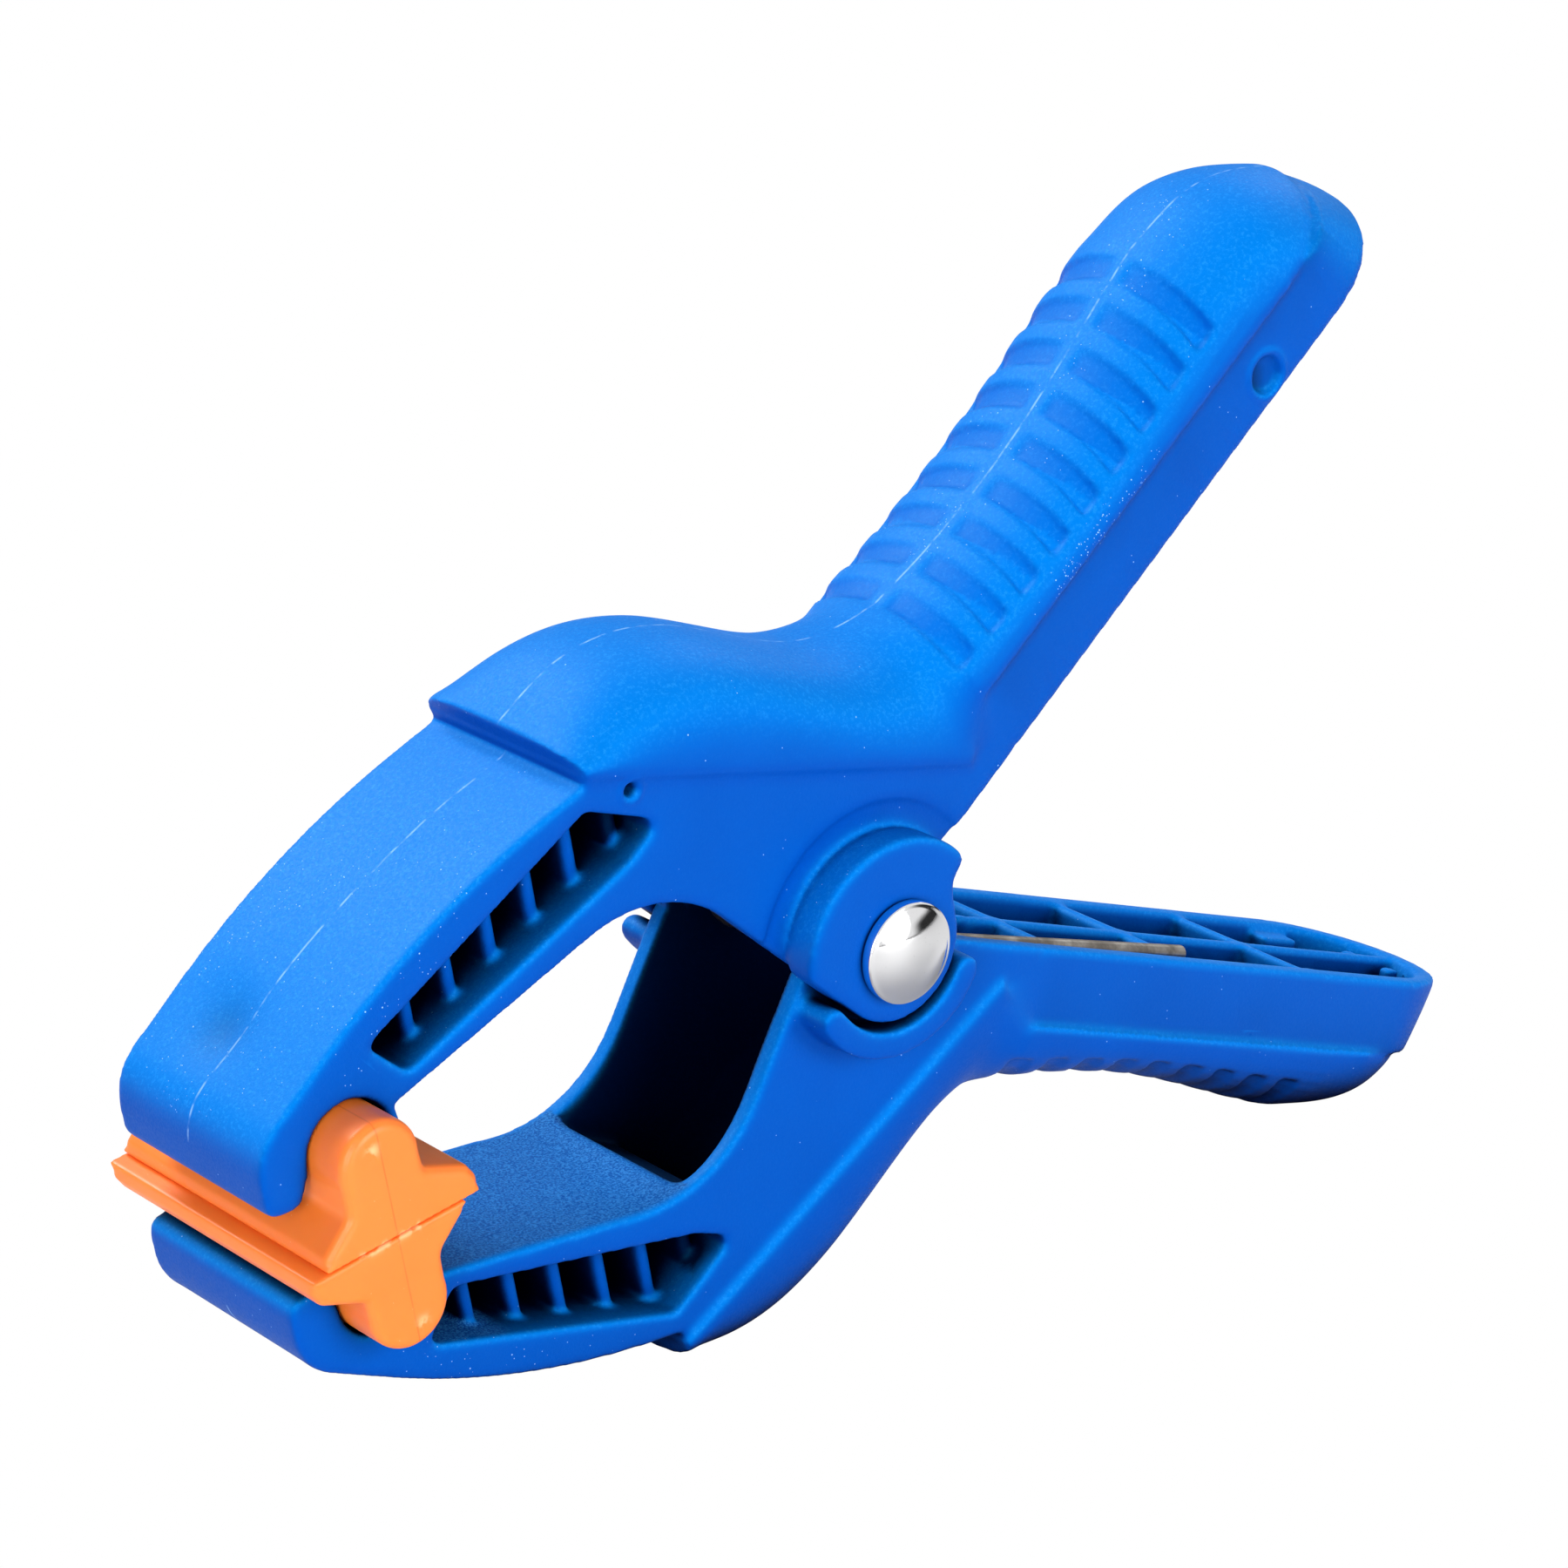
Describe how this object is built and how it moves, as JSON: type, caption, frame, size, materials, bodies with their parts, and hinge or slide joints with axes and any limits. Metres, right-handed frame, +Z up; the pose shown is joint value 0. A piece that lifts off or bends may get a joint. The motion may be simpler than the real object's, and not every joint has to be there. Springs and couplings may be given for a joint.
{
  "type": "spring clamp",
  "caption": "Small moulded spring clamp with ribbed grips, side windows in the jaws, a riveted hinge pin, a torsion spring and swivelling soft pads.",
  "frame": {"origin": "centre of the footprint at the bench, with the closed clamp lying on the lower arm's shoulder and the dome of its handle", "axes": "+X from the jaws towards the handles, +Y along the hinge pin from its head to its cap, +Z up from the lower arm to the upper arm"},
  "size_m": [0.1766, 0.041, 0.1168],
  "materials": {
    "arm_plastic": "finely grained moulded nylon",
    "pad_plastic": "smooth semi-gloss soft plastic",
    "spring_steel": "drawn spring wire",
    "pin_metal": "bright plated"
  },
  "bodies": {
    "lower_arm": {"lower_arm": "arm_plastic", "pivot_pin": "pin_metal", "pin_cap": "pin_metal", "torsion_spring": "spring_steel"},
    "upper_arm": {"upper_arm": "arm_plastic"},
    "upper_pad": {"upper_pad": "pad_plastic"},
    "lower_pad": {"lower_pad": "pad_plastic"}
  },
  "joints": [
    {"name": "jaw_hinge", "type": "hinge", "parent": "lower_arm", "child": "upper_arm", "pos_m": [-0.00894, 0, 0.04469], "axis": [0, 1, 0], "range_deg": [0, 45], "stiffness_Nm_per_rad": 0.84, "springref_deg": -60.16, "deforming": ["torsion_spring"]},
    {"name": "upper_pad_swivel", "type": "hinge", "parent": "upper_arm", "child": "upper_pad", "pos_m": [-0.07748, 0, 0.03987], "axis": [0, 1, 0], "range_deg": [-23, 1]},
    {"name": "lower_pad_swivel", "type": "hinge", "parent": "lower_arm", "child": "lower_pad", "pos_m": [-0.07427, 0, 0.02339], "axis": [0, 1, 0], "range_deg": [-1, 23]}
  ],
  "couplings": [
    {"joint": "upper_pad_swivel", "follows": "jaw_hinge", "ratio": -0.5},
    {"joint": "lower_pad_swivel", "follows": "jaw_hinge", "ratio": 0.5}
  ]
}
